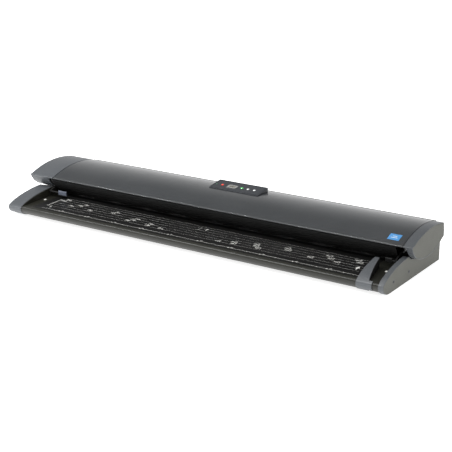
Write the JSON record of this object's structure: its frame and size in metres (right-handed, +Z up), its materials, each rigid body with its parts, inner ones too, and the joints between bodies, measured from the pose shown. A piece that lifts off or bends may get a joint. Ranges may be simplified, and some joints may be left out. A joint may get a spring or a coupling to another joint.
{
  "type": "wide-format document scanner",
  "caption": "Wide sheet-fed document scanner: low base with a printed paper deck and edge guide, hinged winged lid with sensors, rollers, latches and a tilted button panel.",
  "frame": {"origin": "on the floor under the middle of the scanner's bounding box", "axes": "+X along the scanner to the right seen from the feed side, +Y towards the paper exit at the back, +Z up"},
  "size_m": [1.2866, 0.342, 0.1355],
  "materials": {
    "cover_black": "satin black moulded cover",
    "slate_grey": "fine-grained slate grey moulding",
    "end_grey": "fine-grained warm grey moulding",
    "deck_black": "gloss black moulding",
    "insert_black": "gloss black sheet with fine white printed guide lines",
    "recess_black": "matt black moulding",
    "chassis_black": "black powder coat",
    "steel": "plated steel",
    "aluminium": "mill finish extrusion",
    "roller_rubber": "ground roller rubber",
    "foot_rubber": "moulded rubber",
    "belt_rubber": "toothed belt rubber",
    "white_plate": "matt white calibration surface",
    "scan_glass": "clear scan glass",
    "sensor_grey": "moulded sensor body",
    "lens_clear": "rod lens strip",
    "board_green": "circuit board",
    "screw_black": "black oxide",
    "brass": "sintered bush",
    "fascia_black": "printed keypad sheet",
    "display": "display window",
    "button_red": "red keycap",
    "button_green": "green keycap",
    "button_white": "white keycap",
    "status_green": "clear green light pipe",
    "tab_grey": "blue-grey finger tab",
    "label_blue": "blank blue label",
    "sensor_white": "white sensor cap"
  },
  "bodies": {
    "base": {"base_pan": "chassis_black", "rubber_feet": "foot_rubber", "left_side_frame": "steel", "right_side_frame": "steel", "left_cheek": "slate_grey", "right_cheek": "slate_grey", "cheek_screws": "screw_black", "front_deck": "deck_black", "guide_insert": "insert_black", "deck_walls": "deck_black", "paper_tray": "chassis_black", "backing_plate": "white_plate", "rear_cover": "deck_black", "roller_bushes": "brass", "drive_motor": "chassis_black", "drive_belt": "belt_rubber", "main_board": "board_green", "power_socket": "sensor_grey", "usb_socket": "sensor_grey", "network_socket": "sensor_grey", "paper_sensors": "sensor_white", "hinge_pins": "steel"},
    "feed_roller": {"feed_roller_shaft": "steel", "feed_roller_sleeves": "roller_rubber", "feed_roller_pulley": "aluminium"},
    "exit_roller": {"exit_roller_shaft": "steel", "exit_roller_sleeves": "roller_rubber", "exit_roller_pulley": "aluminium"},
    "motor_rotor": {"motor_pulley": "aluminium"},
    "lid": {"left_lid_plate": "steel", "right_lid_plate": "steel", "sensor_beam": "aluminium", "image_sensors": "sensor_grey", "sensor_lenses": "lens_clear", "lid_underside": "recess_black", "scan_glass": "scan_glass", "glass_retainers": "steel", "lid_cover": "cover_black", "left_lid_cap": "slate_grey", "right_lid_cap": "slate_grey", "end_plates": "end_grey", "blank_label": "label_blue", "panel_housing": "fascia_black", "panel_fascia": "fascia_black", "display_window": "display", "keypad_board": "board_green", "status_light": "status_green"},
    "feed_pinch": {"feed_pinch_shaft": "steel", "feed_pinch_rollers": "roller_rubber"},
    "exit_pinch": {"exit_pinch_shaft": "steel", "exit_pinch_rollers": "roller_rubber"},
    "left_latch": {"left_latch": "recess_black", "left_latch_tab": "tab_grey"},
    "right_latch": {"right_latch": "recess_black"},
    "power_button": {"power_button": "button_red"},
    "scan_button": {"scan_button": "button_green"},
    "menu_button": {"menu_button": "button_white"},
    "select_button": {"select_button": "button_white"},
    "edge_guide": {"edge_guide": "slate_grey"}
  },
  "joints": [
    {"name": "lid_hinge", "type": "hinge", "parent": "base", "child": "lid", "pos_m": [0, 0.142, 0.066], "axis": [-1, 0, 0], "range_deg": [0, 45]},
    {"name": "feed_roller_spin", "type": "hinge", "parent": "base", "child": "feed_roller", "pos_m": [0, 0.012, 0.031], "axis": [1, 0, 0], "continuous": true},
    {"name": "exit_roller_spin", "type": "hinge", "parent": "base", "child": "exit_roller", "pos_m": [0, 0.092, 0.031], "axis": [1, 0, 0], "continuous": true},
    {"name": "motor_spin", "type": "hinge", "parent": "base", "child": "motor_rotor", "pos_m": [0, 0.13, 0.0195], "axis": [1, 0, 0], "continuous": true},
    {"name": "feed_pinch_spin", "type": "hinge", "parent": "lid", "child": "feed_pinch", "pos_m": [0, 0.012, 0.0483], "axis": [1, 0, 0], "continuous": true},
    {"name": "exit_pinch_spin", "type": "hinge", "parent": "lid", "child": "exit_pinch", "pos_m": [0, 0.092, 0.0483], "axis": [1, 0, 0], "continuous": true},
    {"name": "left_latch_pull", "type": "hinge", "parent": "lid", "child": "left_latch", "pos_m": [0, -0.002, 0.0683], "axis": [-1, 0, 0], "range_deg": [0, 12], "stiffness_Nm_per_rad": 0.25, "springref_deg": -8.59},
    {"name": "right_latch_pull", "type": "hinge", "parent": "lid", "child": "right_latch", "pos_m": [0, -0.002, 0.0683], "axis": [-1, 0, 0], "range_deg": [0, 12], "stiffness_Nm_per_rad": 0.25, "springref_deg": -8.59},
    {"name": "power_press", "type": "slide", "parent": "lid", "child": "power_button", "axis": [0, 0.1564, -0.9877], "range_m": [0, 0.0008], "stiffness_N_per_m": 600, "springref_m": -0.001},
    {"name": "scan_press", "type": "slide", "parent": "lid", "child": "scan_button", "axis": [0, 0.1564, -0.9877], "range_m": [0, 0.0008], "stiffness_N_per_m": 600, "springref_m": -0.001},
    {"name": "menu_press", "type": "slide", "parent": "lid", "child": "menu_button", "axis": [0, 0.1564, -0.9877], "range_m": [0, 0.0008], "stiffness_N_per_m": 600, "springref_m": -0.001},
    {"name": "select_press", "type": "slide", "parent": "lid", "child": "select_button", "axis": [0, 0.1564, -0.9877], "range_m": [0, 0.0008], "stiffness_N_per_m": 600, "springref_m": -0.001},
    {"name": "guide_slide", "type": "slide", "parent": "base", "child": "edge_guide", "axis": [1, 0, 0], "range_m": [-0.45, 0]}
  ],
  "couplings": [
    {"joint": "exit_roller_spin", "follows": "feed_roller_spin", "ratio": 1},
    {"joint": "motor_spin", "follows": "feed_roller_spin", "ratio": 1.6667}
  ]
}
